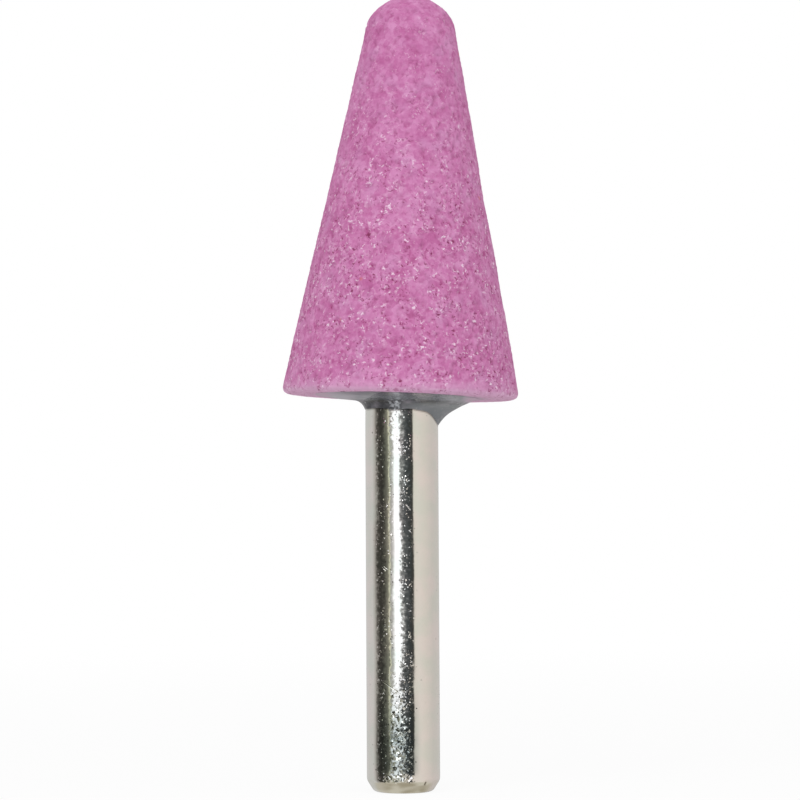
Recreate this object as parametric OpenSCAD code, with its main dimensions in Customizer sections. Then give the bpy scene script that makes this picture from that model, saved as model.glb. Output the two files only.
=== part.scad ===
// Mounted point: a tapered abrasive stone with a round nose, cemented onto a plain steel shank.
// The shank stands on the Z axis with its free end at the origin, and the stone points up.
// As on many such points the stone sits a little askew, and the spare cement has run to one side.

/* [Stone] */
// Diameter of the base, measured to the corner that the rim's rounding takes off
stone_d = 19.6; // [16:0.1:32]
// Length of the stone from base to nose
stone_len = 33.2; // [24:0.1:60]
// Radius of the round nose
nose_r = 3.8; // [1:0.05:6]
// Rounding of the rim between base and side
rim_r = 0.5; // [0.2:0.05:1.5]
// Angle at which the stone leans on its shank
lean = 1.9; // [0.2:0.1:2.5]
// Height above the base at which the stone's axis crosses the shank's axis
lean_height = 3; // [1:0.1:8]

/* [Shank] */
// Diameter that the collet grips
shank_d = 6; // [4:0.1:8]
// Length of shank between its free end and the stone's base
shank_free = 32.3; // [20:0.1:60]
// Length of shank set into the stone
shank_seat = 14; // [10:0.5:18]
// Length of the lead chamfer at the free end
lead_len = 0.95; // [0.7:0.05:2]
// Depth of the lead chamfer from the shank's side
lead_depth = 0.6; // [0.2:0.05:1]
// Rounding between the lead chamfer and the end face
end_r = 0.5; // [0.1:0.05:0.7]
// Draft on the radius of the seat, so that it enters the hole easily
seat_draft = 0.15; // [0.05:0.01:0.3]
// Number of grooves that key the seat into the cement
groove_count = 4; // [1:1:5]
// Width of each groove
groove_w = 1; // [0.6:0.1:1.4]
// Depth of each groove, from the shank's side
groove_depth = 0.5; // [0.35:0.05:0.8]

/* [Cement] */
// Least thickness of cement between seat and hole
cement_gap = 0.3; // [0.1:0.05:0.6]
// Thickness of cement over the end of the seat
cement_cap = 1; // [0.5:0.1:2]
// Least bare width of base between the rounded rim and the film of cement squeezed out over the base
film_margin = 0.6; // [0.2:0.1:1.5]
// Thickness of that film
film_t = 0.18; // [0.08:0.01:0.3]
// Angle at which the cement's hollow surface meets the film
wetting = 14; // [5:1:20]
// Reach of the even fillet, outwards from the shank
fillet_reach = 1.1; // [0.8:0.05:1.8]
// Drop of the even fillet, down the shank from the base
fillet_drop = 1.05; // [0.7:0.05:1.4]
// Reach of the run, outwards from the shank on the side where it pooled
run_reach = 3; // [2.5:0.1:3.6]
// Drop of the run, down the shank from the base
run_drop = 2.25; // [1.8:0.05:3]
// Distance of the run's own axis from the shank's axis
run_offset = 1.2; // [0.8:0.1:1.6]

/* [Hidden] */
$fn = 96;

// Stone: its side is the line that touches the round nose and ends at the base's corner.
stone_r = stone_d / 2;
nose_z = stone_len - nose_r;
side_slope = atan2(stone_r, nose_z) - asin(nose_r / norm([stone_r, nose_z]));
nose_touch = [nose_r * cos(side_slope), nose_z + nose_r * sin(side_slope)];
rim_centre = [stone_r - rim_r / tan((90 - side_slope) / 2), rim_r];
rim_touch = rim_centre + rim_r * [cos(side_slope), sin(side_slope)];

// Hole: takes the seat where it strays furthest from the hole's axis, at its mouth or at its end.
shank_r = shank_d / 2;
seat_end_r = shank_r - seat_draft;
mouth_reach = shank_r / cos(lean) + lean_height * tan(lean);
end_reach = seat_end_r / cos(lean) + (shank_seat - lean_height) * tan(lean);
hole_r = max(mouth_reach, end_reach) + cement_gap;
hole_depth = shank_seat + cement_cap;

// Shank: the gripped length ends just clear of the run, and the drafted seat begins there.
run_clear = 0.3;
grip_top = shank_free - run_drop - shank_r * tan(lean) - run_clear;
shank_len = shank_free + shank_seat;
seat_chamfer = 0.5;
lead_slope = atan2(lead_depth, lead_len);
end_face_r = shank_r - lead_depth - end_r * tan((90 - lead_slope) / 2);
end_touch = [end_face_r + end_r * cos(lead_slope), end_r - end_r * sin(lead_slope)];
groove_pitch = shank_seat / (groove_count + 1);

// Cement: the shank leaves the base a little to one side of the stone's own axis.
collar_x = lean_height * tan(lean);
film_r = rim_centre.x - collar_x - film_margin;

// Places what is drawn from the middle of the stone's base, leaning as the stone does.
module on_shank() {
    translate([0, 0, shank_free + lean_height])
        rotate([0, lean, 0])
            translate([0, 0, -lean_height])
                children();
}

// Half section of the stone, without its hole: flat base, rounded rim, straight side, round nose.
module stone_section() {
    polygon([[0, 0], [rim_centre.x, 0], rim_touch, nose_touch, [0, nose_z]]);
    translate(rim_centre)
        circle(rim_r);
    intersection() {
        translate([0, nose_z])
            circle(nose_r);
        square([nose_r, stone_len]);
    }
}

// Half section of the shank: end face, rounded lead, gripped length, drafted and grooved seat.
module shank_section() {
    difference() {
        union() {
            polygon([
                [0, 0],
                [end_face_r, 0],
                end_touch,
                [shank_r, lead_len],
                [shank_r, grip_top],
                [seat_end_r, shank_len - seat_chamfer],
                [seat_end_r - seat_chamfer, shank_len],
                [0, shank_len]
            ]);
            translate([end_face_r, end_r])
                circle(end_r);
        }
        for (i = [1:groove_count])
            translate([shank_r - groove_depth, shank_free + i * groove_pitch - groove_w / 2])
                square([shank_d, groove_w]);
    }
}

// Half section of a hollow fillet below the base, which ends at the given radius at its lowest.
module fillet_section(inner_r, reach, drop) {
    below_film = drop - film_t;
    arc_r = norm([reach, below_film]) / (2 * sin(atan2(below_film, reach) - wetting));
    difference() {
        translate([0, -drop])
            square([inner_r + reach, drop]);
        translate([inner_r + reach + arc_r * sin(wetting), -film_t - arc_r * cos(wetting)])
            circle(arc_r);
    }
}

// All the cement as if the shank were not there.
module cement_mass() {
    translate([0, 0, -film_t / 2])
        cylinder(r = hole_r, h = hole_depth + film_t / 2);
    translate([collar_x, 0, 0])
        rotate_extrude() {
            translate([0, -film_t])
                square([film_r, film_t]);
            fillet_section(shank_r, fillet_reach, fillet_drop);
        }
    translate([collar_x + run_offset, 0, 0])
        rotate_extrude()
            fillet_section(shank_r - run_offset, run_reach, run_drop);
}

// The pink abrasive stone with the blind hole that takes the seat.
module grinding_stone() {
    color([0.80, 0.50, 0.70])
        on_shank()
            difference() {
                rotate_extrude()
                    stone_section();
                translate([0, 0, -1])
                    cylinder(r = hole_r, h = hole_depth + 1);
            }
}

// The plated steel shank, from the end that the collet takes to the seat inside the stone.
module shank() {
    color([0.80, 0.79, 0.76])
        rotate_extrude()
            shank_section();
}

// The grey cement: the filling of the hole, the film on the base and the collar round the shank.
module cement() {
    color([0.36, 0.36, 0.39])
        difference() {
            on_shank()
                cement_mass();
            rotate_extrude()
                shank_section();
        }
}

grinding_stone();
shank();
cement();
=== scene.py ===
# %% [markdown]
# A mounted point is a small grinding stone on a steel shank, made to spin in a hand grinder. This one is a
# pink cone with a round nose, set with dark cement on a bright plated shank that has seen some handling.
# The imported model is the frame. It holds three plain solids at their real size and place, and it stays as
# it is. For each solid we model a finer skin and hide the solid behind it, and then light the result and
# set a camera on it.

# %% Load the frame
import math

import bpy
import numpy as np
from mathutils import Euler, Matrix, Vector, noise
from mathutils.kdtree import KDTree


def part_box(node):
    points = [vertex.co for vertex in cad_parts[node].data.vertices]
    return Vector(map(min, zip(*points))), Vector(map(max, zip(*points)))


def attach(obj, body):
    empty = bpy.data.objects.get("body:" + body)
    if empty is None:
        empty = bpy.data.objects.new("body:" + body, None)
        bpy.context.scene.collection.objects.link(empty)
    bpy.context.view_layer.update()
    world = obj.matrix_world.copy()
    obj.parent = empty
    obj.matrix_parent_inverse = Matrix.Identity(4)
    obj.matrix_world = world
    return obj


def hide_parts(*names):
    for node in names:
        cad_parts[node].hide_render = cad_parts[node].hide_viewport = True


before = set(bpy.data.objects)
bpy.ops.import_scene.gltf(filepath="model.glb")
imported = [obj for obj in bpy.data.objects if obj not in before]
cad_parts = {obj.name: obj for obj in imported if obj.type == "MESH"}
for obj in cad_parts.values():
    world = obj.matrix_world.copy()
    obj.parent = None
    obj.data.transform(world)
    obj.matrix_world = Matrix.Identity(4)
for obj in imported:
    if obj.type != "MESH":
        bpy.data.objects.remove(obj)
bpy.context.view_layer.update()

MM = 0.001
bpy.ops.object.select_all(action="DESELECT")

# %% [markdown]
# The camera comes first, because every other choice is judged through it. The photograph was taken from a
# little below the stone's base with a long lens, so that the flat base shows as a thin strip and the sides
# hardly converge. A pixel scale at the shank's axis and a distance give the lens. A small roll levels the
# picture like the photograph.

# %% Camera
IMAGE_SIDE = 800
PIXELS_PER_MM = 12.14
CAMERA_DISTANCE = 224 * MM
CLIP_START = 10 * MM
LOOK_AT = Vector((-0.131, 0, 32.037)) * MM
LOOK_UP = math.radians(2.508)
ROLL = math.radians(-0.293)

facing = Euler((math.pi / 2 + LOOK_UP, 0, 0)).to_matrix() @ Matrix.Rotation(ROLL, 3, "Z")
camera_place = LOOK_AT + facing @ Vector((0, 0, CAMERA_DISTANCE))
bpy.ops.object.camera_add(location=camera_place, rotation=facing.to_euler())
camera = bpy.context.object
camera.name = "photo_camera"
camera.data.lens = PIXELS_PER_MM * (CAMERA_DISTANCE / MM) * camera.data.sensor_width / IMAGE_SIDE
camera.data.clip_start = CLIP_START
bpy.context.scene.camera = camera
print("Lens", round(camera.data.lens, 1), "mm")

# %% [markdown]
# Most tools in Blender act on whatever is selected, so a lesson that is run as a script keeps a tight grip
# on the selection. These helpers add one piece, pick one, or open one for editing.

# %% Helpers for a piece
def add_piece(primitive, name, **settings):
    """Adds a primitive while nothing else is selected, and gives it its name."""
    bpy.ops.object.select_all(action="DESELECT")
    primitive(**settings)
    bpy.context.object.name = name
    return bpy.context.object


def select_only(piece):
    """Makes this piece the only one selected, and the active one."""
    bpy.ops.object.select_all(action="DESELECT")
    piece.select_set(True)
    bpy.context.view_layer.objects.active = piece


def edit_all():
    """Opens the active piece in edit mode with all of it selected."""
    bpy.ops.object.mode_set(mode="EDIT")
    bpy.ops.mesh.select_all(action="SELECT")


# %% [markdown]
# The shank is a turned bar. A lathe makes it in one go, and so do we: a filled circle is extruded ring by
# ring, and each ring is scaled to the radius of the next station. A cylinder with bevels would do for the
# outside, but the stations also give us the drafted seat and its grooves, and close rows along the grip to
# carry small dents.

# %% A lathe
def turn(name, stations, segments):
    """Turns a closed solid about the Z axis, ring by ring, through its stations of radius and height."""
    radius, height = stations[0]
    piece = add_piece(bpy.ops.mesh.primitive_circle_add, name, vertices=segments, radius=radius,
                      fill_type="NGON")
    edit_all()
    bpy.ops.transform.translate(value=(0, 0, height))
    for next_radius, next_height in stations[1:]:
        bpy.ops.mesh.extrude_region_move(TRANSFORM_OT_translate={"value": (0, 0, next_height - height)})
        growth = next_radius / radius
        bpy.ops.transform.resize(value=(growth, growth, 1), center_override=(0, 0, next_height))
        radius, height = next_radius, next_height
    bpy.ops.mesh.select_all(action="SELECT")
    bpy.ops.mesh.normals_make_consistent(inside=False)
    bpy.ops.object.mode_set(mode="OBJECT")
    return piece


def arc(centre, radius, first, last, steps):
    """Stations on an arc, from the first to the last angle in degrees, where 0 points away from the axis."""
    angles = [math.radians(first + (last - first) * step / steps) for step in range(steps + 1)]
    return [(centre[0] + radius * math.cos(a), centre[1] + radius * math.sin(a)) for a in angles]


# %% Stations of the shank
shank_low, shank_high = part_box("shank")
SHANK_R = (shank_high.x - shank_low.x) / 2
SHANK_TOP = shank_high.z
SHANK_FREE = 32.3 * MM
SHANK_SEGMENTS = 288
GRIP_TOP = 29.65 * MM
LEAD_LEN = 0.95 * MM
LEAD_DEPTH = 0.6 * MM
END_ROUND = 0.5 * MM
LEAD_ROUND = 0.8 * MM
ARC_STEPS = 6
FINE_ROW = 0.1 * MM
FINE_TOP = 13 * MM
COARSE_ROW = 0.3 * MM
SEAT_DRAFT = 0.15 * MM
SEAT_CHAMFER = 0.5 * MM
GROOVES = 4
GROOVE_W = 1 * MM
GROOVE_DEPTH = 0.5 * MM

lead_slope = math.degrees(math.atan2(LEAD_DEPTH, LEAD_LEN))
end_face_r = SHANK_R - LEAD_DEPTH - END_ROUND * math.tan(math.radians((90 - lead_slope) / 2))
lead_tangent = LEAD_ROUND * math.tan(math.radians(lead_slope / 2))
lead_end = LEAD_LEN + lead_tangent
end_arc = arc((end_face_r, END_ROUND), END_ROUND, -90, -lead_slope, ARC_STEPS)
lead_arc = arc((SHANK_R - LEAD_ROUND, lead_end), LEAD_ROUND, -lead_slope, 0, ARC_STEPS)


def rows(low, high, spacing):
    """Stations on the plain bar, from above the low end up to the high one."""
    count = round((high - low) / spacing)
    return [(SHANK_R, low + (high - low) * row / count) for row in range(1, count + 1)]


def seat_radius(height):
    """Radius of the drafted seat at a height."""
    return SHANK_R - SEAT_DRAFT * (height - GRIP_TOP) / (SHANK_TOP - SEAT_CHAMFER - GRIP_TOP)


grip = rows(lead_end, FINE_TOP, FINE_ROW) + rows(FINE_TOP, GRIP_TOP, COARSE_ROW)
seat = [(seat_radius(level), level) for _, level in rows(GRIP_TOP, SHANK_FREE, FINE_ROW)]
for groove in range(1, GROOVES + 1):
    middle = SHANK_FREE + groove * (SHANK_TOP - SHANK_FREE) / (GROOVES + 1)
    low, high = middle - GROOVE_W / 2, middle + GROOVE_W / 2
    groove_floor = SHANK_R - GROOVE_DEPTH
    seat += [(seat_radius(low), low), (groove_floor, low), (groove_floor, high), (seat_radius(high), high)]
seat_end = SHANK_R - SEAT_DRAFT
seat += [(seat_end, SHANK_TOP - SEAT_CHAMFER), (seat_end - SEAT_CHAMFER, SHANK_TOP)]
shank = turn("plated_shank", end_arc + lead_arc + grip + seat, SHANK_SEGMENTS)
print("The shank has", len(shank.data.polygons), "faces")

# %% [markdown]
# From here on formulas move and mark many thousand points, which takes the place of sculpting by hand.
# Arrays are the quick way to do it. These helpers read and write all points of a piece at once, tell on
# which side of the bar each of them lies, and store a number with each.

# %% Helpers for points
def points_of(piece):
    """All points of a piece, one row each."""
    flat = np.empty(len(piece.data.vertices) * 3)
    piece.data.vertices.foreach_get("co", flat)
    return flat.reshape(-1, 3)


def move_points(piece, points):
    """Puts the points of a piece where the rows of the array say."""
    piece.data.vertices.foreach_set("co", points.ravel())
    piece.data.update()


def store(piece, name, values):
    """Stores one number for each point, for a material to read."""
    attribute = piece.data.attributes.new(name, "FLOAT", "POINT")
    attribute.data.foreach_set("value", np.asarray(values, dtype=np.float32))


def azimuth_of(points):
    """The side that each point lies on, in degrees from the camera's side towards +X."""
    return np.degrees(np.arctan2(points[:, 0], -points[:, 1]))


def apart(azimuth, side):
    """The angle between each azimuth and one side, at most half a turn."""
    return np.abs((azimuth - side + 180) % 360 - 180)


def smooth_step(values, start, end):
    """Goes from 0 at start to 1 at end with soft ends."""
    share = np.clip((values - start) / (end - start), 0, 1)
    return share * share * (3 - 2 * share)


# %% [markdown]
# The plating is bright, but the bar under it has been handled. A few of its sides are worn, and towards
# the free end they are crinkled like foil where a collet has bitten. A scraped strip runs beside the worn
# side in front, a burr stands above the lead, and the lead is stained. Such dents are only hundredths of a
# millimetre deep, yet a mirror shows them plainly. One formula says how worn each point is, by its side of
# the bar and by its height. A vertex group hands that to a Displace modifier with a cloud texture, and
# attributes hand it to the material.

# %% Worn sides of the shank
# Each side has its middle and half width in degrees, and its strength.
WORN_SIDES = [(-7, 10, 1), (122, 24, 0.5), (-128, 28, 0.6)]
SCRAPED_SIDES = [(4, 6, 0.42)]
PITTED_SIDES = [(5, 8, 0.9), (-18, 4, 0.3), (-36, 8, 0.6), (95, 30, 0.6), (-150, 26, 0.6)]
BURR_SIDES = [(-6, 18, 1), (122, 24, 0.5), (-128, 28, 0.6)]
DULL_SIDES = [(-11, 28, 1), (122, 24, 0.5), (-128, 28, 0.6)]
STAINED_SIDES = [(6, 34, 1), (120, 40, 0.8), (-130, 40, 0.9)]
# Heights at which each kind of wear starts and at which it is full.
CRINKLED = (10.5 * MM, 6.2 * MM)
SCRAPED = (13 * MM, 8 * MM)
DULLED = (9.8 * MM, 4.2 * MM)
PITTED_END = (20 * MM, 9 * MM)
PITTED_TOP = (GRIP_TOP - 3 * MM, GRIP_TOP)
GRIPPED = (lead_end - 0.3 * MM, lead_end)
STAINED = (lead_end, lead_end - 0.35 * MM)
LEAST_STAIN = 0.35
BURR_WIDTH = 0.5 * MM
BURR_GAIN = 1.3
# Share of pits all over, on the pitted sides, by the cement and towards the free end.
PITS_ALL_OVER = 0.02
PITS_ON_SIDES = 0.68
PITS_BY_CEMENT = 0.45
PITS_AT_END = 0.06


def along_sides(azimuth, sides):
    """Wear along some sides of the bar, the strongest where they meet."""
    worn = np.zeros(len(azimuth))
    for middle, half_width, strength in sides:
        fade = smooth_step(apart(azimuth, middle), 1.5 * half_width, 0.8 * half_width)
        worn = np.maximum(worn, strength * fade)
    return worn


shank_points = points_of(shank)
height = shank_points[:, 2]
azimuth = azimuth_of(shank_points)
on_grip = smooth_step(height, *GRIPPED) * (height < GRIP_TOP)
worn = along_sides(azimuth, WORN_SIDES)
burr = np.exp(-((height - lead_end) / BURR_WIDTH) ** 2)
bitten = worn * smooth_step(height, *CRINKLED)
scraped = along_sides(azimuth, SCRAPED_SIDES) * smooth_step(height, *SCRAPED)
crinkle = on_grip * np.max([bitten, scraped, along_sides(azimuth, BURR_SIDES) * burr], axis=0)
pitting = PITS_ALL_OVER + along_sides(azimuth, PITTED_SIDES) * PITS_ON_SIDES
pitting += PITS_BY_CEMENT * smooth_step(height, *PITTED_TOP) * worn
pitting += PITS_AT_END * smooth_step(height, *PITTED_END) * on_grip
dulled = along_sides(azimuth, DULL_SIDES) * smooth_step(height, *DULLED)
stained = LEAST_STAIN + (1 - LEAST_STAIN) * along_sides(azimuth, STAINED_SIDES)
store(shank, "crinkle", crinkle * (1 + BURR_GAIN * burr))
store(shank, "dulled", dulled * on_grip * (1 - burr))
store(shank, "pitting", np.clip(pitting, 0, 1))
store(shank, "lead", stained * smooth_step(height, *STAINED))
print("Crinkles reach", int((crinkle > 0).sum()), "points of the shank")

# %% Helpers for a modifier
def apply_modifier(piece, kind, **settings):
    """Adds a modifier with these settings and applies it."""
    select_only(piece)
    bpy.ops.object.modifier_add(type=kind)
    modifier = piece.modifiers[-1]
    for setting, value in settings.items():
        setattr(modifier, setting, value)
    bpy.ops.object.modifier_apply(modifier=modifier.name)


def weigh(piece, name, weights):
    """Stores one weight for each point in a vertex group, which limits a modifier to part of a piece."""
    group = piece.vertex_groups.new(name=name)
    for index, weight in enumerate(weights):
        group.add([index], float(weight), "REPLACE")


def relief(name, kind, size, **settings):
    """A texture for a Displace modifier, with features of about this size."""
    texture = bpy.data.textures.new(name, kind)
    texture.noise_scale = size
    for setting, value in settings.items():
        setattr(texture, setting, value)
    return texture


def emboss(piece, texture, depth, level, where):
    """Moves the points of a piece along their normals by a texture, inside a vertex group."""
    apply_modifier(piece, "DISPLACE", texture=texture, texture_coords="LOCAL", strength=depth,
                   mid_level=level, vertex_group=where)


# %% Dents in the shank
FOIL_SIZE = 0.36 * MM
FOIL_DEPTH = 0.045 * MM
FOIL_LEVEL = 0.4
SHANK_SHARP = math.radians(35)

weigh(shank, "crinkled", crinkle)
emboss(shank, relief("foil_crinkle", "CLOUDS", FOIL_SIZE, noise_depth=1), FOIL_DEPTH, FOIL_LEVEL, "crinkled")
select_only(shank)
bpy.ops.object.shade_smooth_by_angle(angle=SHANK_SHARP)
moved = np.linalg.norm(points_of(shank) - shank_points, axis=1)
print("The deepest dent is", round(moved.max() / MM, 4), "mm")

# %% [markdown]
# The stone is a cone that ends in a round nose, and it leans a little on its shank. The nose is part of a
# sphere, so we start from a sphere, cut it where the straight side touches it, and extrude the cut edge
# down to the base. A bevel rounds the rim. The same could be turned on the lathe above, but the sphere
# shows how cutting and extruding go together.

# %% Shape of the stone
STONE_R = 9.8 * MM
STONE_LEN = 33.2 * MM
NOSE_R = 3.8 * MM
NOSE_SEGMENTS = 128
NOSE_RINGS = 64
CUT_TOLERANCE = 1e-7
RIM_R = 0.5 * MM
RIM_STEPS = 8
LEAN = math.radians(1.9)
LEAN_HEIGHT = 3 * MM

nose_z = STONE_LEN - NOSE_R
side_slope = math.atan2(STONE_R, nose_z) - math.asin(NOSE_R / math.hypot(STONE_R, nose_z))
touch_r = NOSE_R * math.cos(side_slope)
touch_z = nose_z + NOSE_R * math.sin(side_slope)

stone = add_piece(bpy.ops.mesh.primitive_uv_sphere_add, "abrasive_stone", segments=NOSE_SEGMENTS,
                  ring_count=NOSE_RINGS, radius=NOSE_R)
edit_all()
bpy.ops.transform.translate(value=(0, 0, nose_z))
bpy.ops.mesh.bisect(plane_co=(0, 0, touch_z), plane_no=(0, 0, 1), clear_inner=True, threshold=CUT_TOLERANCE)
bpy.ops.mesh.extrude_edges_move(TRANSFORM_OT_translate={"value": (0, 0, -touch_z)})
bpy.ops.transform.resize(value=(STONE_R / touch_r, STONE_R / touch_r, 1), center_override=(0, 0, 0))
bpy.ops.mesh.edge_face_add()
rim_tangent = RIM_R / math.tan((math.pi / 2 - side_slope) / 2)
bpy.ops.mesh.bevel(offset=rim_tangent, segments=RIM_STEPS, affect="EDGES")
bpy.ops.mesh.select_all(action="SELECT")
bpy.ops.mesh.normals_make_consistent(inside=False)
bpy.ops.object.mode_set(mode="OBJECT")
print("The side of the stone slopes", round(math.degrees(side_slope), 2), "degrees")

# %% [markdown]
# Bonded grit is open: grains stand out, and pores lie between them. A voxel remesh first gives the stone
# an even net of small faces. Then four textures work on it with Displace: a slow waviness that keeps the
# outline from being a ruled line, one cell for each grain, a finer crumble, and scattered pores that only
# go inwards. The rim and the base come smooth from the mould, so a vertex group eases the displacement
# there. A few shallow hollows and swellings of the whole side come first, because a stone that was pressed
# and fired is never quite true.

# %% Grit on the stone
NET = 0.165 * MM
# Each swelling has its side in degrees, its height and reach in millimetres, and how far it stands out.
SWELLINGS = [(90, 17, 2.6, -0.1), (-88, 31.3, 1.1, 0.14), (88, 31.3, 1.1, 0.1), (200, 12, 4.0, -0.1)]
LEAST_OPEN = 0.4
OPEN_HEIGHTS = (0.5 * MM, 1.6 * MM)

apply_modifier(stone, "REMESH", mode="VOXEL", voxel_size=NET)
plain_points = points_of(stone)
azimuth = azimuth_of(plain_points)
from_axis = np.hypot(plain_points[:, 0], plain_points[:, 1])
for side, rise, reach, swell in SWELLINGS:
    across = np.radians(apart(azimuth, side)) * from_axis
    near = np.exp(-(across ** 2 + (plain_points[:, 2] - rise * MM) ** 2) / (reach * MM) ** 2)
    plain_points[:, :2] *= (1 + swell * MM * near / np.maximum(from_axis, MM))[:, None]
move_points(stone, plain_points)
weigh(stone, "open", LEAST_OPEN + (1 - LEAST_OPEN) * smooth_step(plain_points[:, 2], *OPEN_HEIGHTS))

waviness = relief("waviness", "CLOUDS", 2.6 * MM)
grains = relief("grains", "VORONOI", 0.45 * MM, weight_1=-1, weight_2=1)
crumble = relief("crumble", "CLOUDS", 0.3 * MM, noise_depth=1)
pores = relief("pores", "CLOUDS", 0.4 * MM, noise_depth=0, use_color_ramp=True)
for element, position, grey in zip(pores.color_ramp.elements, (0.22, 0.34), (0, 1)):
    element.position = position
    element.color = (grey, grey, grey, 1)
for texture, depth, level in [
    (waviness, 0.10 * MM, 0.15),
    (grains, 0.06 * MM, 0.35),
    (crumble, 0.06 * MM, 0.5),
    (pores, 0.12 * MM, 1.0),
]:
    emboss(stone, texture, depth, level, "open")
print("The stone has", len(stone.data.polygons), "faces")

# %% [markdown]
# The material will need to know where the stone is pitted, where cement is smeared on its base and where
# the mould left it smooth. The rough points are compared with the plain ones to tell how deep each has
# sunk, and heights and distances tell the rest. The blind hole for the shank is drilled last, with a
# Boolean and a plain cylinder, because the remesh would have frayed the edge of an earlier one. A Boolean
# leaves slivers along its edge, which are dissolved.

# %% Pits, smear and hole
FILM_R = 6.7 * MM
COLLAR_X = LEAN_HEIGHT * math.tan(LEAN)
PIT_DEPTHS = (0.01 * MM, 0.13 * MM)
BASE_HEIGHTS = (0.3 * MM, 0.05 * MM)
SMEAR_REACH = (FILM_R + 1.5 * MM, FILM_R - 0.5 * MM)
RIM_HEIGHTS = (1.3 * MM, 0.4 * MM)
UNDER_HEIGHTS = (0.5 * MM, 0.15 * MM)
HOLE_R = 3.517 * MM
HOLE_DEPTH = 15 * MM
HOLE_SEGMENTS = 64
SLIVER = 0.004 * MM

outward = np.empty(len(plain_points) * 3)
stone.data.vertices.foreach_get("normal", outward)
sunk = -((points_of(stone) - plain_points) * outward.reshape(-1, 3)).sum(axis=1)
above_base = plain_points[:, 2]
from_collar = np.hypot(plain_points[:, 0] - COLLAR_X, plain_points[:, 1])
store(stone, "pit", smooth_step(sunk, *PIT_DEPTHS))
store(stone, "smear", smooth_step(above_base, *BASE_HEIGHTS) * smooth_step(from_collar, *SMEAR_REACH))
store(stone, "rim", smooth_step(above_base, *RIM_HEIGHTS))
# Painted light: the lowest half millimetre, where the rim turns down into shade, is marked for a paler pink.
store(stone, "under", smooth_step(above_base, *UNDER_HEIGHTS))
print("Grit stands", round(-sunk.min() / MM, 3), "mm out and lies", round(sunk.max() / MM, 3), "mm deep")

drill = add_piece(bpy.ops.mesh.primitive_cylinder_add, "drill", vertices=HOLE_SEGMENTS, radius=HOLE_R,
                  depth=2 * HOLE_DEPTH)
apply_modifier(stone, "BOOLEAN", object=drill, operation="DIFFERENCE", solver="MANIFOLD")
bpy.data.objects.remove(drill)
select_only(stone)
edit_all()
bpy.ops.mesh.dissolve_degenerate(threshold=SLIVER)
bpy.ops.object.mode_set(mode="OBJECT")
print("The drilled stone has", len(stone.data.polygons), "faces")


# %% [markdown]
# Stone and cement were set together, so they lean together. Both are modelled upright, from the middle of
# the stone's base, and tilted at the end. Applying the transform puts the tilt into the mesh and leaves
# the object at the origin.

# %% Lean of the stone
def lean_on_shank(piece):
    """Tilts a piece that was drawn from the middle of the stone's base, and sets it on the shank."""
    tilt = Euler((0, LEAN, 0))
    pivot = Vector((0, 0, LEAN_HEIGHT))
    piece.rotation_euler = tilt
    piece.location = Vector((0, 0, SHANK_FREE + LEAN_HEIGHT)) - tilt.to_matrix() @ pivot
    select_only(piece)
    bpy.ops.object.transform_apply(location=True, rotation=True, scale=True)


lean_on_shank(stone)
bpy.ops.object.shade_smooth()
stone_points = points_of(stone) / MM
print("The stone reaches from", stone_points.min(0).round(2), "to", stone_points.max(0).round(2))

# %% [markdown]
# The cement was squeezed out of the hole as the shank went in. It lies as a thin film on the base, climbs
# down the shank in a hollow fillet, and has run further down on one side. A lathe alone can't make the
# run, so the rings are turned flat and each point then drops by a formula: the deeper of an even fillet
# round the shank and a second, wider one round an axis to the side, with a soft change between them. A
# little noise makes the edges wander.

# %% Blank for the cement
FILM_T = 0.18 * MM
FILM_LIP = 0.02 * MM
COLLAR_INNER = 2.9 * MM
COLLAR_RINGS = 44
COLLAR_SEGMENTS = 192
RING_CROWDING = 1.35
PLUG_R = 2.8 * MM

ring_shares = [(ring / COLLAR_RINGS) ** RING_CROWDING for ring in range(COLLAR_RINGS + 1)]
collar = [(COLLAR_INNER + (FILM_R - COLLAR_INNER) * share, -FILM_T) for share in ring_shares]
plug_inside = [(PLUG_R, SHANK_TOP - SHANK_FREE), (COLLAR_INNER, 0)]
plug_outside = [(FILM_R - FILM_LIP, 0), (HOLE_R, 0), (HOLE_R, HOLE_DEPTH)]
cement = turn("cement_collar", plug_inside + collar + plug_outside, COLLAR_SEGMENTS)
print("The cement has", len(cement.data.polygons), "faces")

# %% Film, fillet and run
FEATHER = 2.5 * MM
EDGE_STEP = 0.5 * MM
FILLET_REACH = 0.42 * MM
FILLET_DROP = 0.93 * MM
FILLET_WANDER = 0.12
RUN_OFFSET = 1.8 * MM
RUN_REACH = 1.3 * MM
RUN_DROP = 2.12 * MM
RUN_LIP = 0.06 * MM
RUN_WANDER = 0.05
WANDER_SIZE = 1.3 * MM
BLEND = 0.2 * MM


def hollow(distance, start, reach, drop):
    """Depth of a meniscus: from its start, each reach further out leaves about a third of the depth."""
    return drop * np.exp(-np.maximum(distance - start, 0) / reach)


cement_points = points_of(cement)
below = cement_points[:, 2] < -FILM_T / 2
x, y = cement_points[below, 0], cement_points[below, 1]
wander = np.array([noise.noise(Vector((px, py, 0)) / WANDER_SIZE) for px, py in zip(x, y)])
from_shank = np.hypot(x, y)
even = hollow(from_shank, SHANK_R, FILLET_REACH, FILLET_DROP * (1 + FILLET_WANDER * wander))
run_start = SHANK_R - RUN_OFFSET + RUN_LIP
run = hollow(np.hypot(x - RUN_OFFSET, y), run_start, RUN_REACH, RUN_DROP * (1 + RUN_WANDER * wander))
deeper = (even + run + np.sqrt((even - run) ** 2 + BLEND ** 2)) / 2
thinning = smooth_step(from_shank, FILM_R, FILM_R - FEATHER)
deeper *= smooth_step(from_shank, FILM_R + EDGE_STEP, FILM_R - FEATHER / 2)
cement_points[below, 2] = -FILM_T * thinning - deeper
print("The cement hangs", round(deeper.max() / MM, 2), "mm down")
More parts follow.
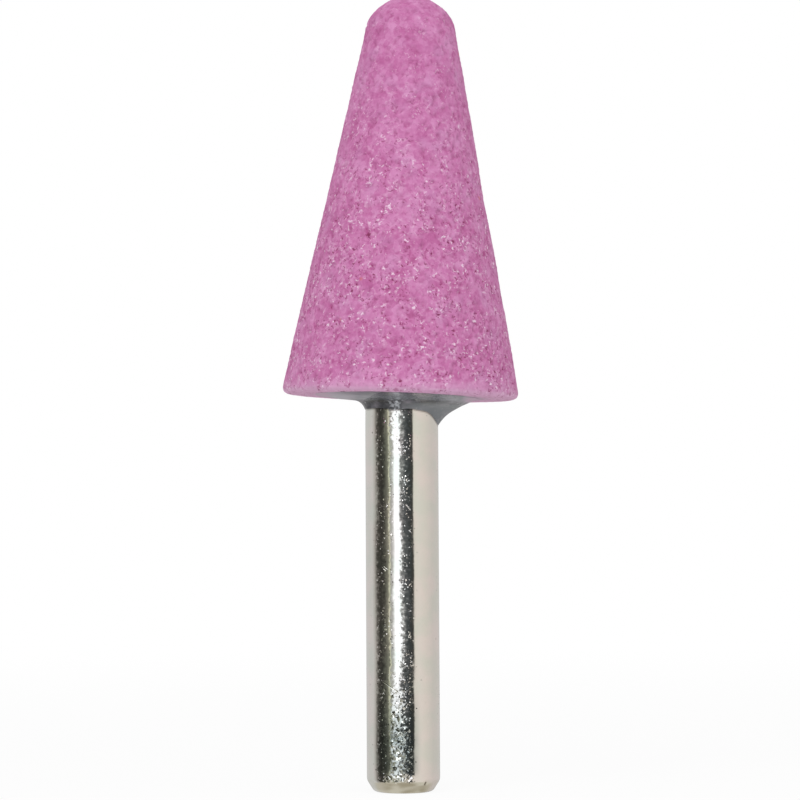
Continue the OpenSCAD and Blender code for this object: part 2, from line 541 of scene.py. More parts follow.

# %% [markdown]
# The cement isn't one even grey. It is thin and wiped to both sides, carries a painted reflection of the
# shank's bright streak in front, and is dark along the film's edge in front and behind. Each of these
# places is stored with the points, by their distance from the shank and by their side. Then the film's
# edge gets its lobes, and the collar its place and its lean.

# %% Marks and lobes of the cement
WIPE_SHIFT = 0.9 * MM
WIPE_WIDEN = 0.55
STREAK_REFLECTION_X = -0.45 * MM
STREAK_REFLECTION_WIDTH = 0.55 * MM
# Depths, distances and shares between which each mark comes or goes.
FILM_DEPTHS = (0.5 * MM, 0.25 * MM)
THIN_REACH = (3.4 * MM, 6.5 * MM)
DRY_REACH = (3.5 * MM, 5.5 * MM)
STREAK_REFLECTION_REACH = (5.5 * MM, 4.0 * MM)
EDGE_REACH = (4.6 * MM, 6.4 * MM)
TIPS_REACH = (4.9 * MM, 6.5 * MM)
FACING_FRONT = (0.95, 0.5)
FACING_SIDE = (0.7, 0.97)
# Each wave of the film's edge has its size, its count round the shank and its start.
LOBES = [(0.02, 3, 1.0), (0.015, 7, 2.1), (0.01, 13, 0.0)]
LOBE_START = 4.5 * MM
FRONT_BULGE = 0.22
SIDE_SHIFT = 0.08
CEMENT_SHARP = math.radians(40)

around = np.arctan2(cement_points[:, 1], cement_points[:, 0])
from_middle = np.hypot(cement_points[:, 0], cement_points[:, 1])
sideways = np.abs(cement_points[:, 0]) / np.maximum(from_middle, MM)
pooled = np.zeros(len(cement_points))
pooled[below] = run / RUN_DROP
across = np.hypot(cement_points[:, 0] - WIPE_SHIFT, WIPE_WIDEN * cement_points[:, 1])
# Painted reflection: a pale stripe on the collar's front, under the shank's bright streak.
streak_reflection_band = np.exp(-((cement_points[:, 0] - STREAK_REFLECTION_X) / STREAK_REFLECTION_WIDTH) ** 2) * (cement_points[:, 1] < 0)
store(cement, "pooled", pooled)
store(cement, "film", smooth_step(-cement_points[:, 2], *FILM_DEPTHS))
store(cement, "thin", smooth_step(across, *THIN_REACH))
store(cement, "dry", smooth_step(across, *DRY_REACH))
store(cement, "streak_reflection", streak_reflection_band * smooth_step(from_middle, *STREAK_REFLECTION_REACH))
store(cement, "edge", smooth_step(from_middle, *EDGE_REACH) * smooth_step(sideways, *FACING_FRONT))
store(cement, "tips", smooth_step(from_middle, *TIPS_REACH) * smooth_step(sideways, *FACING_SIDE))
lobes = sum(size * np.sin(count * around + start) for size, count, start in LOBES)
lobes += FRONT_BULGE * np.sin(around) ** 2 - SIDE_SHIFT * np.cos(around)
cement_points[:, :2] *= (1 + smooth_step(from_middle, LOBE_START, FILM_R) * lobes)[:, None]
cement_points[:, 0] += COLLAR_X
move_points(cement, cement_points)
lean_on_shank(cement)
bpy.ops.object.shade_smooth_by_angle(angle=CEMENT_SHARP)
print("The lobes swing between", lobes.min().round(3), "and", lobes.max().round(3))

# %% [markdown]
# A dark line of shadow is painted onto the shank where it comes out of the cement. A tree of the
# cement's points gives the nearest one to any place, so each point of the shank can be told how far it
# is from the cement.

# %% Painted shadow under the cement
CONTACT_SHADOW_WIDTH = 0.16 * MM
CONTACT_SHADOW_FULL = 0.03 * MM
placed_points = points_of(cement)
nearest = KDTree(len(placed_points))
for index, point in enumerate(placed_points):
    nearest.insert(point, index)
nearest.balance()
gaps = np.full(len(shank_points), CONTACT_SHADOW_WIDTH)
for index in np.flatnonzero(np.abs(shank_points[:, 2] - GRIP_TOP) < SHANK_FREE - GRIP_TOP):
    gaps[index] = nearest.find(shank_points[index])[2]
# Painted shadow: the shank's colour is darkened close to the cement's edge.
store(shank, "contact_shadow", smooth_step(gaps, CONTACT_SHADOW_WIDTH, CONTACT_SHADOW_FULL))
print("Contact_shadow lies on", int((gaps < CONTACT_SHADOW_WIDTH).sum()), "points of the shank")

# %% [markdown]
# Materials are built from nodes. These helpers keep that short: one adds a node and sets or links its
# inputs, and the others are the nodes we need most.

# %% Helpers for nodes
HALF = (0.5, 0.5, 0.5)


def place(tree, kind, inputs=None, **options):
    """Adds a node, sets its options, and sets or links its inputs."""
    node = tree.nodes.new("ShaderNode" + kind)
    for option, value in options.items():
        setattr(node, option, value)
    for key, value in (inputs or {}).items():
        if isinstance(value, bpy.types.NodeSocket):
            tree.links.new(value, node.inputs[key])
        else:
            node.inputs[key].default_value = value
    return node


def calc(tree, operation, first, second=0.0):
    """Arithmetic on one or two values."""
    return place(tree, "Math", {0: first, 1: second}, operation=operation).outputs[0]


def times(tree, first, second):
    """The product of two values."""
    return calc(tree, "MULTIPLY", first, second)


def vector_calc(tree, operation, first, key=1, second=HALF):
    """Arithmetic on a vector, with a second value in the input that the key names."""
    return place(tree, "VectorMath", {0: first, key: second}, operation=operation).outputs["Vector"]


def between(tree, value, start, end, low=0.0, high=1.0):
    """Maps the stretch from start to end softly onto low to high."""
    inputs = {"Value": value, "From Min": start, "From Max": end, "To Min": low, "To Max": high}
    return place(tree, "MapRange", inputs, interpolation_type="SMOOTHSTEP").outputs["Result"]


# %% [markdown]
# Some effects turn up on more than one finish, so each of them is one node group with its own values in
# each material. Specks and facets both start from a Voronoi texture, which cuts space into cells with a
# random colour each. Specks keep a share of the cells and draw a soft dot in each: rust on the grit,
# filler in the cement, pits in the plating. Facets keep a share of the cells and give each a random lean,
# so that it catches the light from elsewhere, as a broken grain does, or a dent in metal. Mottling is
# plain cloudy noise.

# %% Shared groups
DOT_CORE = 0.45
MOTTLE_DETAIL = 4.0


def new_group(name, inputs, outputs):
    """A shader node group with a vector input, float inputs, and outputs of the given kinds."""
    group = bpy.data.node_groups.new(name, "ShaderNodeTree")
    group.interface.new_socket("Vector", in_out="INPUT", socket_type="NodeSocketVector")
    for socket in inputs:
        group.interface.new_socket(socket, in_out="INPUT", socket_type="NodeSocketFloat")
    for socket, kind in outputs.items():
        group.interface.new_socket(socket, in_out="OUTPUT", socket_type="NodeSocket" + kind)
    return group, group.nodes.new("NodeGroupInput").outputs, group.nodes.new("NodeGroupOutput").inputs


def some_cells(group, given):
    """Voronoi cells, and a mask that keeps a random share of them."""
    cells = place(group, "TexVoronoi", {"Vector": given["Vector"], "Scale": given["Scale"]}).outputs
    chance = place(group, "SeparateColor", {"Color": cells["Color"]}).outputs["Red"]
    return cells, calc(group, "LESS_THAN", chance, given["Share"])


specks, given, result = new_group("specks", ["Scale", "Share", "Size"], {"Mask": "Float"})
cells, kept = some_cells(specks, given)
dot = between(specks, cells["Distance"], given["Size"], times(specks, given["Size"], DOT_CORE))
specks.links.new(times(specks, kept, dot), result["Mask"])

facets, given, result = new_group("facets", ["Scale", "Share"], {"Lean": "Vector"})
cells, kept = some_cells(facets, given)
random_lean = place(facets, "TexWhiteNoise", {"Vector": cells["Position"]}).outputs["Color"]
centred = vector_calc(facets, "SUBTRACT", random_lean)
facets.links.new(vector_calc(facets, "SCALE", centred, "Scale", kept), result["Lean"])

mottle, given, result = new_group("mottle", ["Scale", "Contrast"], {"Value": "Float"})
cloudy = {"Vector": given["Vector"], "Scale": given["Scale"], "Detail": MOTTLE_DETAIL}
cloudy = place(mottle, "TexNoise", cloudy).outputs["Fac"]
swing = times(mottle, calc(mottle, "SUBTRACT", cloudy, 0.5), given["Contrast"])
centred = place(mottle, "Math", {0: swing, 1: 0.5}, operation="ADD", use_clamp=True).outputs[0]
mottle.links.new(centred, result["Value"])


def shared(tree, group, where, size, **values):
    """The one output of a shared group, placed in a material with cells of this size and its own values."""
    inputs = {"Vector": where, "Scale": 1 / size, **values}
    return place(tree, "Group", inputs, node_tree=group).outputs[0]


def lean_by(tree, normal, lean, amount):
    """Tips a normal by an amount of a lean."""
    push = vector_calc(tree, "SCALE", lean, "Scale", amount)
    return vector_calc(tree, "NORMALIZE", vector_calc(tree, "ADD", normal, 1, push))


print("Shared groups:", specks.name, facets.name, mottle.name)

# %% [markdown]
# Each finish is one Principled shader with nodes before it. All patterns read Object coordinates or an
# attribute of the mesh, and both stay with the piece.

# %% Helpers for a finish
def new_material(name):
    """A material with one Principled shader, its node tree and the Object coordinates."""
    material = bpy.data.materials.new(name)
    material.use_nodes = True
    tree = material.node_tree
    shader = tree.nodes["Principled BSDF"]
    return material, tree, shader, place(tree, "TexCoord").outputs["Object"]


def dress(piece, material):
    """Gives a piece this material alone."""
    piece.data.materials.clear()
    piece.data.materials.append(material)
    print("Nodes in", material.name + ":", len(material.node_tree.nodes))


def stored(tree, name):
    """One of the numbers stored with the points of the piece."""
    return place(tree, "Attribute", attribute_name=name).outputs["Fac"]


def clouds(tree, where, size, detail, output="Fac", **more):
    """Cloudy noise with features of about this size."""
    inputs = {"Vector": where, "Scale": 1 / size, "Detail": detail, **more}
    return place(tree, "TexNoise", inputs).outputs[output]


def ramp(tree, value, stops):
    """A colour ramp through stops of position and colour."""
    node = place(tree, "ValToRGB", {"Fac": value})
    elements = node.color_ramp.elements
    while len(elements) < len(stops):
        elements.new(1.0)
    for element, (position, colour) in zip(elements, stops):
        element.position = position
        element.color = colour
    return node.outputs["Color"]


def tint(tree, share, under, over, most=None):
    """Lays one colour over another by a share, which a greatest amount may scale down."""
    if most is not None:
        share = times(tree, share, most)
    return place(tree, "Mix", {0: share, 6: under, 7: over}, data_type="RGBA").outputs[2]


# %% [markdown]
# The stone's pink comes from its grit, and it is far from even: magenta and pale rose lie side by side in
# patches of about a millimetre. Where the surface is open there are dark specks of painted shade in
# crevices and, close beside them, painted highlights: pale glints on grains. Both are read from the two
# ends of one noise, so that they come in pairs, and a slower noise gathers them in clusters. They grow
# scarce towards the nose, which is the smoothest part.

# %% Tone of the grit
GRIT_TONES = [
    (0.22, (0.495, 0.117, 0.322, 1)),
    (0.48, (0.58, 0.18, 0.41, 1)),
    (0.75, (0.665, 0.263, 0.51, 1)),
]
LILAC = (0.54, 0.26, 0.47, 1)
PIT_SHADE = (0.33, 0.05, 0.17, 1)
RIM_PINK = (0.70, 0.37, 0.59, 1)
UNDERSIDE_FILL_LIGHT = (0.74, 0.46, 0.65, 1)
RUST = (0.60, 0.13, 0.10, 1)

pink_grit, tree, shader, where = new_material("pink_grit")
grain_tone = place(tree, "TexVoronoi", {"Vector": where, "Scale": 1 / (0.62 * MM)}).outputs["Color"]
grain_tone = place(tree, "SeparateColor", {"Color": grain_tone}).outputs["Blue"]
patches = shared(tree, mottle, where, 1.5 * MM, Contrast=2.0)
crumbs = shared(tree, mottle, where, 0.36 * MM, Contrast=2.2)
tone = calc(tree, "ADD", times(tree, grain_tone, 0.28), times(tree, patches, 0.40))
tone = calc(tree, "ADD", tone, times(tree, crumbs, 0.32))
colour = ramp(tree, tone, GRIT_TONES)
lilac = between(tree, shared(tree, mottle, where, 2.0 * MM, Contrast=2.4), 0.5, 1.0)
rust = shared(tree, specks, where, 1.6 * MM, Share=0.06, Size=0.16)
for share, over, most in [
    (lilac, LILAC, 0.3),
    (stored(tree, "pit"), PIT_SHADE, 0.25),
    (stored(tree, "rim"), RIM_PINK, 0.45),
    # Painted light: a paler pink lifts the shade on the rim's downward face.
    (stored(tree, "under"), UNDERSIDE_FILL_LIGHT, 0.6),
    (rust, RUST, 0.6),
]:
    colour = tint(tree, share, colour, over, most)
print("The grit has", len(GRIT_TONES), "tones")

# %% Painted shade in crevices, painted glints and smear
PALE_CHIP = (0.76, 0.44, 0.64, 1)
DEEP_CHIP = (0.40, 0.05, 0.21, 1)
CREVICE_SHADE = (0.24, 0.02, 0.10, 1)
PAINTED_GLINT = (0.88, 0.66, 0.81, 1)
SMEAR = (0.52, 0.37, 0.48, 1)
NOSE_HEIGHT = 62 * MM
OPEN_HEIGHT = 44 * MM
RAGGED = 0.8

rise = place(tree, "SeparateXYZ", {"Vector": where}).outputs["Z"]
open_share = between(tree, rise, NOSE_HEIGHT, OPEN_HEIGHT, 0.3, 1.0)
clusters = shared(tree, mottle, where, 1.25 * MM, Contrast=3.0)
clusters = times(tree, between(tree, clusters, 0.15, 0.7, 0.15, 1.0), open_share)
chips = clouds(tree, where, 0.48 * MM, 1.0, Distortion=RAGGED)
pale = times(tree, between(tree, chips, 0.55, 0.68), clusters)
colour = tint(tree, pale, colour, PALE_CHIP, 0.38)
deep = times(tree, between(tree, chips, 0.44, 0.33), clusters)
colour = tint(tree, deep, colour, DEEP_CHIP, 0.45)
flecks = clouds(tree, where, 0.24 * MM, 1.0, Distortion=RAGGED)
# Painted shade: the low ends of the flecks noise darken the grit as if shaded in crevices.
crevice_shade = times(tree, between(tree, flecks, 0.39, 0.28), clusters)
colour = tint(tree, crevice_shade, colour, CREVICE_SHADE)
chance = between(tree, clouds(tree, where, 0.55 * MM, 0.0), 0.38, 0.62)
# Painted highlights: the high ends of the same noise paint pale glints, which are also made glossier.
painted_glints = times(tree, times(tree, between(tree, flecks, 0.60, 0.68), chance), clusters)
colour = tint(tree, painted_glints, colour, PAINTED_GLINT)
smear_edge = times(tree, shared(tree, mottle, where, 1.2 * MM, Contrast=2.0), 0.5)
smeared = between(tree, calc(tree, "ADD", stored(tree, "smear"), smear_edge), 0.4, 1.3)
colour = tint(tree, smeared, colour, SMEAR)
tree.links.new(colour, shader.inputs["Base Color"])
tree.links.new(between(tree, painted_glints, 0.0, 1.0, 0.8, 0.25), shader.inputs["Roughness"])
bumps = calc(tree, "ADD", times(tree, crumbs, 0.6), times(tree, grain_tone, 0.3))
bumps = calc(tree, "ADD", bumps, times(tree, times(tree, flecks, clusters), 1.6))
bump = place(tree, "Bump", {"Height": bumps, "Strength": 0.6, "Distance": 0.06 * MM}).outputs["Normal"]
broken = shared(tree, facets, where, 0.3 * MM, Share=0.5)
tree.links.new(lean_by(tree, bump, broken, 0.34), shader.inputs["Normal"])
dress(stone, pink_grit)

# %% [markdown]
# Bright nickel is almost a mirror, so its colour in a picture is that of the room. What makes it look real
# are its faults: dents that catch the light, crinkles on the worn sides, a few scratches and the slow
# waves that drawing leaves along a bar. Most are too fine to model, so they lean the normal. Facets do it
# for the dents and the flakes of the crinkles, soft noise for the waves and folds, and a Bump node for the
# scratches. A Mapping node shrinks and turns the Object coordinates so that a scratch is a plain box in
# them, and another stretches the waves along the bar.

# %% A scratch
def scratch(tree, where, middle, slope, length, width):
    """A mask for one fine mark on the camera's side: its middle as x and z, and its slope in degrees."""
    box = {
        "Vector": where,
        "Location": (middle[0], 0, middle[1]),
        "Rotation": (0, math.radians(slope), 0),
        "Scale": (length / 2, 1, width / 2),
    }
    inside = place(tree, "Mapping", box, vector_type="TEXTURE").outputs["Vector"]
    inside = place(tree, "SeparateXYZ", {"Vector": inside}).outputs
    line = between(tree, calc(tree, "ABSOLUTE", inside["Z"]), 1.0, 0.2)
    line = times(tree, line, between(tree, calc(tree, "ABSOLUTE", inside["X"]), 1.0, 0.6))
    return times(tree, line, calc(tree, "LESS_THAN", inside["Y"], 0.0))


# %% Dents, crinkles and scratches
SCRATCHES = [
    ((-0.98 * MM, 8.63 * MM), 35, 2.3 * MM, 0.11 * MM),
    ((0.5 * MM, 23.2 * MM), 51, 0.8 * MM, 0.1 * MM),
    ((-1.5 * MM, 18.2 * MM), 37, 0.6 * MM, 0.08 * MM),
    ((-1.35 * MM, 18.3 * MM), 37, 0.5 * MM, 0.08 * MM),
]
SCRATCH_DEPTH = 0.009 * MM
ALONG_BAR = (1, 1, 0.3)
DENT_SIZE = 0.09 * MM
DENT_SHARE = 0.4
DENT_LEAN = 0.5
# Folds have their size and lean. Flakes have their size, their share and their lean.
FOLDS = [(0.5 * MM, 0.34), (0.25 * MM, 0.5)]
FLAKES = [(0.11 * MM, 0.32, 0.5), (0.25 * MM, 0.42, 0.75)]


def soft_lean(tree, where, size, detail):
    """A lean that changes softly over the surface."""
    return vector_calc(tree, "SUBTRACT", clouds(tree, where, size, detail, "Color"))


pitted_plating, tree, shader, where = new_material("pitted_plating")
shader.inputs["Metallic"].default_value = 1.0
crinkle = stored(tree, "crinkle")
pitting = stored(tree, "pitting")
clusters = between(tree, shared(tree, mottle, where, 1.1 * MM, Contrast=3.0), 0.2, 0.8)
density = times(tree, times(tree, pitting, clusters), DENT_SHARE)
marks = 0.0
for mark in SCRATCHES:
    marks = calc(tree, "SUBTRACT", marks, scratch(tree, where, *mark))
normal = place(tree, "Bump", {"Height": marks, "Strength": 1.0, "Distance": SCRATCH_DEPTH}).outputs["Normal"]
drawn = place(tree, "Mapping", {"Vector": where, "Scale": ALONG_BAR}).outputs["Vector"]
waves = between(tree, pitting, 0.0, 0.6, 0.1, 0.22)
normal = lean_by(tree, normal, soft_lean(tree, drawn, 1.6 * MM, 2.0), waves)
ripples = between(tree, pitting, 0.0, 0.6, 0.02, 0.34)
normal = lean_by(tree, normal, soft_lean(tree, where, 0.3 * MM, 2.0), ripples)
normal = lean_by(tree, normal, shared(tree, facets, where, DENT_SIZE, Share=density), DENT_LEAN)
for size, amount in FOLDS:
    normal = lean_by(tree, normal, soft_lean(tree, where, size, 1.0), times(tree, crinkle, amount))
for size, share, amount in FLAKES:
    flakes = shared(tree, facets, where, size, Share=share)
    normal = lean_by(tree, normal, flakes, times(tree, crinkle, amount))
tree.links.new(normal, shader.inputs["Normal"])
print("The plating has", len(SCRATCHES), "scratches")

# %% Tone of the plating
NICKEL_TONES = [(0.2, (0.78, 0.79, 0.735, 1)), (0.8, (0.855, 0.80, 0.77, 1))]
DULL_NICKEL = (0.38, 0.415, 0.395, 1)
PALE_STAIN = (0.86, 0.84, 0.77, 1)
BROWN_STAIN = (0.55, 0.51, 0.42, 1)
PIT_BROWN = (0.50, 0.47, 0.42, 1)
NICK_BROWN = (0.25, 0.22, 0.18, 1)
CONTACT_SHADOW = (0.12, 0.10, 0.095, 1)
NICK = ((1.75 * MM, 0.82 * MM), -65, 0.4 * MM, 0.2 * MM)
ROUND_LEAD = (0.6, 0.6, 1.8)

smudges = shared(tree, mottle, where, 3.0 * MM, Contrast=2.5)
tree.links.new(between(tree, smudges, 0.2, 0.9, 0.06, 0.14), shader.inputs["Roughness"])
colour = ramp(tree, shared(tree, mottle, where, 2.2 * MM, Contrast=2.5), NICKEL_TONES)
dulled = times(tree, stored(tree, "dulled"), between(tree, clusters, 0.0, 1.0, 0.75, 1.0))
colour = tint(tree, dulled, colour, DULL_NICKEL)
round_lead = place(tree, "Mapping", {"Vector": where, "Scale": ROUND_LEAD}).outputs["Vector"]
blotches = between(tree, clouds(tree, round_lead, 0.9 * MM, 1.0), 0.3, 0.68)
colour = tint(tree, stored(tree, "lead"), colour, tint(tree, blotches, PALE_STAIN, BROWN_STAIN))
wide_pits = shared(tree, specks, where, 0.9 * MM, Share=0.06, Size=0.13)
colour = tint(tree, wide_pits, colour, PIT_BROWN, 0.5)
colour = tint(tree, scratch(tree, where, *NICK), colour, NICK_BROWN)
# Painted contact shadow where the shank leaves the cement.
colour = tint(tree, stored(tree, "contact_shadow"), colour, CONTACT_SHADOW, 0.8)
tree.links.new(colour, shader.inputs["Base Color"])
dress(shank, pitted_plating)

# %% [markdown]
# The cement is a dark filled resin that set with a glossy skin where it flowed. It is a lighter grey in the
# run and duller in the film, which was wiped so thin to both sides that the pink shows through as lilac.
# Attributes of the mesh say where that is. A little mottling and specks of filler break the skin.

# %% Grey cement
CEMENT_TONES = [(0.15, (0.016, 0.016, 0.022, 1)), (0.85, (0.036, 0.037, 0.048, 1))]
RUN_GREY = (0.215, 0.23, 0.243, 1)
FILM_GREY = (0.215, 0.232, 0.258, 1)
WIPED_LILAC = (0.49, 0.455, 0.505, 1)
FAINT_PINK = (0.53, 0.39, 0.49, 1)
EDGE_SHADE = (0.10, 0.075, 0.11, 1)
STREAK_REFLECTION_GREY = (0.56, 0.58, 0.62, 1)
FILLER = (0.45, 0.44, 0.46, 1)

grey_cement, tree, shader, where = new_material("grey_cement")
shader.inputs["Specular IOR Level"].default_value = 0.35
streaks = shared(tree, mottle, where, 1.1 * MM, Contrast=2.2)
pooled = stored(tree, "pooled")
wiped = between(tree, calc(tree, "ADD", stored(tree, "thin"), times(tree, streaks, 0.4)), 0.1, 0.9)
faint = between(tree, calc(tree, "ADD", stored(tree, "tips"), times(tree, streaks, 0.6)), 0.45, 1.2)
# Painted reflection of the shank's bright streak, broken into spots by noise.
streak_reflection = times(tree, stored(tree, "streak_reflection"), between(tree, clouds(tree, where, 0.3 * MM, 2.0), 0.45, 0.66))
filler = shared(tree, specks, where, 0.3 * MM, Share=0.10, Size=0.35)
colour = ramp(tree, streaks, CEMENT_TONES)
for share, over, most in [
    (between(tree, pooled, 0.06, 0.3), RUN_GREY, None),
    (stored(tree, "film"), FILM_GREY, None),
    (wiped, WIPED_LILAC, None),
    (faint, FAINT_PINK, None),
    (stored(tree, "edge"), EDGE_SHADE, 0.55),
    (streak_reflection, STREAK_REFLECTION_GREY, None),
    (filler, FILLER, 0.5),
]:
    colour = tint(tree, share, colour, over, most)
tree.links.new(colour, shader.inputs["Base Color"])
dullness = calc(tree, "MAXIMUM", stored(tree, "dry"), between(tree, pooled, 0.05, 0.4, 0.0, 0.6))
tree.links.new(between(tree, dullness, 0.0, 1.0, 0.2, 0.75), shader.inputs["Roughness"])
lumps = calc(tree, "SUBTRACT", streaks, filler)
bump = place(tree, "Bump", {"Height": lumps, "Strength": 0.3, "Distance": 0.05 * MM}).outputs["Normal"]
rippled = shared(tree, facets, where, 0.22 * MM, Share=0.7)
tree.links.new(lean_by(tree, bump, rippled, 0.14), shader.inputs["Normal"])
dress(cement, grey_cement)

# %% [markdown]
# The point stands on a pale floor that turns to plain white further off, so that no horizon shows. The
# floor is a diffuse surface and keeps the shadow. Only rays from the camera see the white, which comes
# from the material and adds no light to the object. The shank doesn't mirror this floor, because its
# reflections get a room of their own below.

# %% Floor
FLOOR_SIDE = 6.0
FADE_START = 40 * MM
FADE_END = 260 * MM
LEAST_WHITE = 0.92
PAPER = (0.9, 0.9, 0.9, 1)
floor = add_piece(bpy.ops.mesh.primitive_plane_add, "floor", size=FLOOR_SIDE)
paper, tree, shader, where = new_material("paper")
shader.inputs["Base Color"].default_value = PAPER
shader.inputs["Roughness"].default_value = 0.9
shader.inputs["Specular IOR Level"].default_value = 0.0
from_point = place(tree, "VectorMath", {0: where}, operation="LENGTH").outputs["Value"]
faded = between(tree, from_point, FADE_START, FADE_END, LEAST_WHITE, 1.0)
seen = times(tree, faded, place(tree, "LightPath").outputs["Is Camera Ray"])
white = place(tree, "Emission").outputs["Emission"]
mixed = place(tree, "MixShader", {0: seen, 1: shader.outputs["BSDF"], 2: white})
tree.links.new(mixed.outputs["Shader"], tree.nodes["Material Output"].inputs["Surface"])
floor.data.materials.append(paper)
floor.visible_glossy = False
print("The floor is", FLOOR_SIDE, "m wide")

# %% [markdown]
# Soft light comes from all round, from a large lamp high on the left and a weaker one on the right. The
# world is white to the camera and to reflections, and dimmer as a light, so that colours come out about as
# they are written.

# %% World and lamps
AMBIENT = 0.62
world = bpy.data.worlds.new("soft_room")
world.use_nodes = True
bpy.context.scene.world = world
tree = world.node_tree
path = place(tree, "LightPath").outputs
background = calc(tree, "MAXIMUM", path["Is Camera Ray"], path["Is Glossy Ray"])
background = calc(tree, "MAXIMUM", background, path["Is Transmission Ray"])
strength = place(tree, "MapRange", {"Value": background, "To Min": AMBIENT, "To Max": 1.0}).outputs["Result"]
tree.links.new(strength, tree.nodes["Background"].inputs["Strength"])
tree.nodes["Background"].inputs["Color"].default_value = (1, 1, 1, 1)


def around_point(azimuth, elevation, distance):
    """A place seen from the stone's base: azimuth in degrees from the camera's side towards +X."""
    turn_angle, rise = math.radians(azimuth), math.radians(elevation)
    flat = math.cos(rise) * distance
    level = SHANK_FREE + math.sin(rise) * distance
    return Vector((flat * math.sin(turn_angle), -flat * math.cos(turn_angle), level))


def soft_lamp(name, azimuth, elevation, distance, side, watts):
    """A square area lamp that faces the stone's base."""
    spot = around_point(azimuth, elevation, distance)
    aim = (Vector((0, 0, SHANK_FREE)) - spot).to_track_quat("-Z", "Y")
    bpy.ops.object.light_add(type="AREA", location=spot, rotation=aim.to_euler())
    lamp = bpy.context.object
    lamp.name = name
    lamp.data.size = side
    lamp.data.energy = watts
    print(name, "gives", watts, "W")


soft_lamp("key_lamp", -26, 42, 0.5, 0.35, 0.85)
soft_lamp("fill_lamp", 55, 30, 0.6, 0.5, 0.5)

# %% [markdown]
# A mirror needs something to mirror. In the photograph the shank shows tall bands: pale walls, two dark
# ones and a bright window beside the camera. A ring stands round the point and gives those bands. It is
# seen by reflections alone, so it casts no light and no shadow. A point on a round bar turns the view by
# twice its angle, which is how the azimuth of each band follows from its place on the shank. One colour
# ramp over the azimuth paints the whole ring, because its stops can lie close together for a crisp edge or
# apart for a soft one. The alpha of a stop sets how bright it glows.

# %% Bands of the ring
WINDOW_GLOW = 1.4
PLAIN = 1 / WINDOW_GLOW
FLOOR_CREAM = (0.60, 0.575, 0.505, 1)
# Each stop has its azimuth in degrees and its colour, whose alpha is its glow.
BANDS = [
    (-180, (0.50, 0.495, 0.49, PLAIN)),
    (-155, (0.65, 0.645, 0.64, PLAIN)),
    (-109, (0.65, 0.645, 0.64, PLAIN)),
    (-98, (0.50, 0.49, 0.47, PLAIN)),
    (-90, (0.22, 0.21, 0.195, PLAIN)),
    (-81, (0.064, 0.061, 0.054, PLAIN)),
    (-70, (0.038, 0.037, 0.033, PLAIN)),
    (-60, (0.078, 0.079, 0.067, PLAIN)),
    (-51, (0.165, 0.166, 0.137, PLAIN)),
    (-46, (0.26, 0.26, 0.21, PLAIN)),
    (-42.5, (0.86, 0.87, 0.68, PLAIN)),
    (-39.5, (0.41, 0.42, 0.39, PLAIN)),
    (-34, (0.49, 0.50, 0.49, PLAIN)),
    (-28, (0.90, 0.92, 0.93, PLAIN)),
    (-25, (0.90, 0.95, 1, 1)),
    (-9, (0.90, 0.95, 1, 1)),
    (-4.5, (0.62, 0.63, 0.64, PLAIN)),
    (0, (0.28, 0.285, 0.29, PLAIN)),
    (8, (0.105, 0.115, 0.12, PLAIN)),
    (22, (0.048, 0.054, 0.057, PLAIN)),
    (33.5, (0.055, 0.055, 0.05, PLAIN)),
    (37, (0.79, 0.76, 0.70, PLAIN)),
    (50, (0.80, 0.77, 0.72, PLAIN)),
    (75, (0.76, 0.715, 0.665, PLAIN)),
    (108, (0.66, 0.625, 0.60, PLAIN)),
    (155, (0.64, 0.615, 0.60, PLAIN)),
    (180, (0.50, 0.495, 0.49, PLAIN)),
]


def glowing(name):
    """A material with an Emission shader, and its node tree."""
    material = bpy.data.materials.new(name)
    material.use_nodes = True
    tree = material.node_tree
    tree.nodes.remove(tree.nodes["Principled BSDF"])
    glow = place(tree, "Emission")
    tree.links.new(glow.outputs["Emission"], tree.nodes["Material Output"].inputs["Surface"])
    return material, tree, glow


print("The ring has", len(BANDS), "stops of colour")

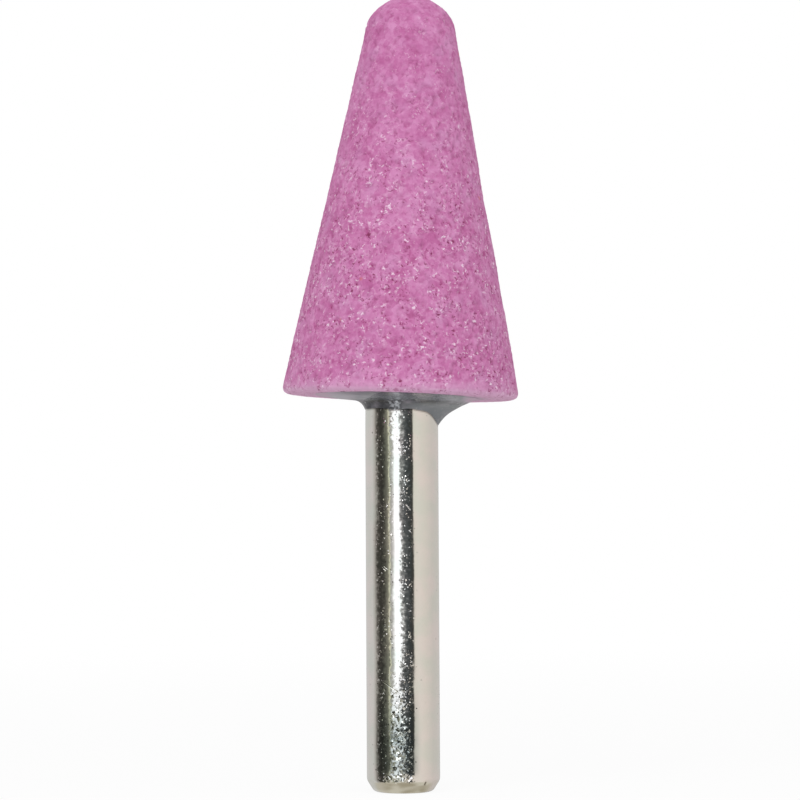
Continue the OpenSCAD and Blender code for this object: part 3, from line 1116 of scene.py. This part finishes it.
# %% Ring for the reflections
RING_R = 0.6
RING_H = 1.0
RING_SIDES = 180
LOW_WALL = -0.3
ring = add_piece(bpy.ops.mesh.primitive_circle_add, "reflection_ring", vertices=RING_SIDES, radius=RING_R)
edit_all()
bpy.ops.transform.translate(value=(0, 0, -RING_H / 2))
bpy.ops.mesh.extrude_edges_move(TRANSFORM_OT_translate={"value": (0, 0, RING_H)})
bpy.ops.object.mode_set(mode="OBJECT")

bands, tree, glow = glowing("bands")
there = place(tree, "SeparateXYZ", {"Vector": place(tree, "TexCoord").outputs["Object"]}).outputs
azimuth = calc(tree, "ARCTAN2", there["X"], times(tree, there["Y"], -1.0))
whole_turn = {"Value": azimuth, "From Min": -math.pi, "From Max": math.pi}
turned = place(tree, "MapRange", whole_turn).outputs["Result"]
painted = ramp(tree, turned, [((degrees + 180) / 360, colour) for degrees, colour in BANDS])
low_share = between(tree, there["Z"], LOW_WALL, -RING_H / 2)
tree.links.new(tint(tree, low_share, painted, FLOOR_CREAM), glow.inputs["Color"])
tree.links.new(times(tree, painted.node.outputs["Alpha"], WINDOW_GLOW), glow.inputs["Strength"])
ring.data.materials.append(bands)
print("The ring is", RING_R, "m from the point")

# %% Floor for the reflections
RING_FLOOR_SIDES = 64
ring_floor = add_piece(bpy.ops.mesh.primitive_circle_add, "reflection_floor", vertices=RING_FLOOR_SIDES,
                       radius=RING_R, fill_type="NGON", location=(0, 0, -RING_H / 2))
cream, tree, glow = glowing("cream_floor")
glow.inputs["Color"].default_value = FLOOR_CREAM
ring_floor.data.materials.append(cream)
for screen in (ring, ring_floor):
    for ray in ("camera", "diffuse", "transmission", "volume_scatter", "shadow"):
        setattr(screen, "visible_" + ray, False)
print("Reflections see", ring.name, "and", ring_floor.name)

# %% [markdown]
# Last, each skin takes its place in the frame: it rides on the part's one body, and its solid is hidden.
# The dressed part may not outgrow the frame.

# %% Into the frame
for piece, node, finish in [
    (stone, "grinding_stone", "abrasive"),
    (shank, "shank", "plated_steel"),
    (cement, "cement", "cement"),
]:
    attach(piece, "root")
    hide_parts(node)

bpy.context.scene.view_settings.view_transform = "Standard"
